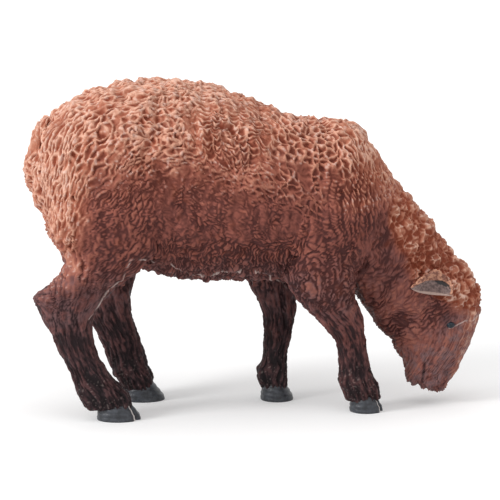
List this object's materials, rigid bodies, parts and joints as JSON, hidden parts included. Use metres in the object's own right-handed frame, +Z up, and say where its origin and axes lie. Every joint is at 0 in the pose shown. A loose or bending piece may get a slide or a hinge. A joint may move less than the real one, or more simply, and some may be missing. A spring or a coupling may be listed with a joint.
{
  "type": "toy farm animal figure",
  "caption": "Moulded toy lamb standing with its head lowered to graze, woolly fleece, cloven hooves, fixed pose.",
  "frame": {"origin": "centre of the figure's bounding box on the surface that it stands on", "axes": "+X towards the head, +Z up, +Y towards the animal's left side"},
  "size_m": [0.0889, 0.031, 0.0647],
  "materials": {
    "fleece": "soft PVC with moulded wool, painted red-brown, dry-brushed tan on the ridges, satin-matt",
    "face": "soft PVC with moulded hair, painted dark red-brown, satin-matt",
    "leg": "soft PVC with moulded hair, shaded dark brown to near black towards the hoof",
    "ear": "soft PVC, red-brown back and grey-beige inner face",
    "hoof": "painted slate grey, semi-gloss",
    "eye": "painted near black, gloss"
  },
  "bodies": {
    "root": {"torso": "fleece", "neck_and_head": "face", "front_leg_right": "leg", "hind_leg_right": "leg", "front_leg_left": "leg", "hind_leg_left": "leg", "ear_right": "ear", "ear_left": "ear", "tail": "fleece"}
  },
  "joints": []
}
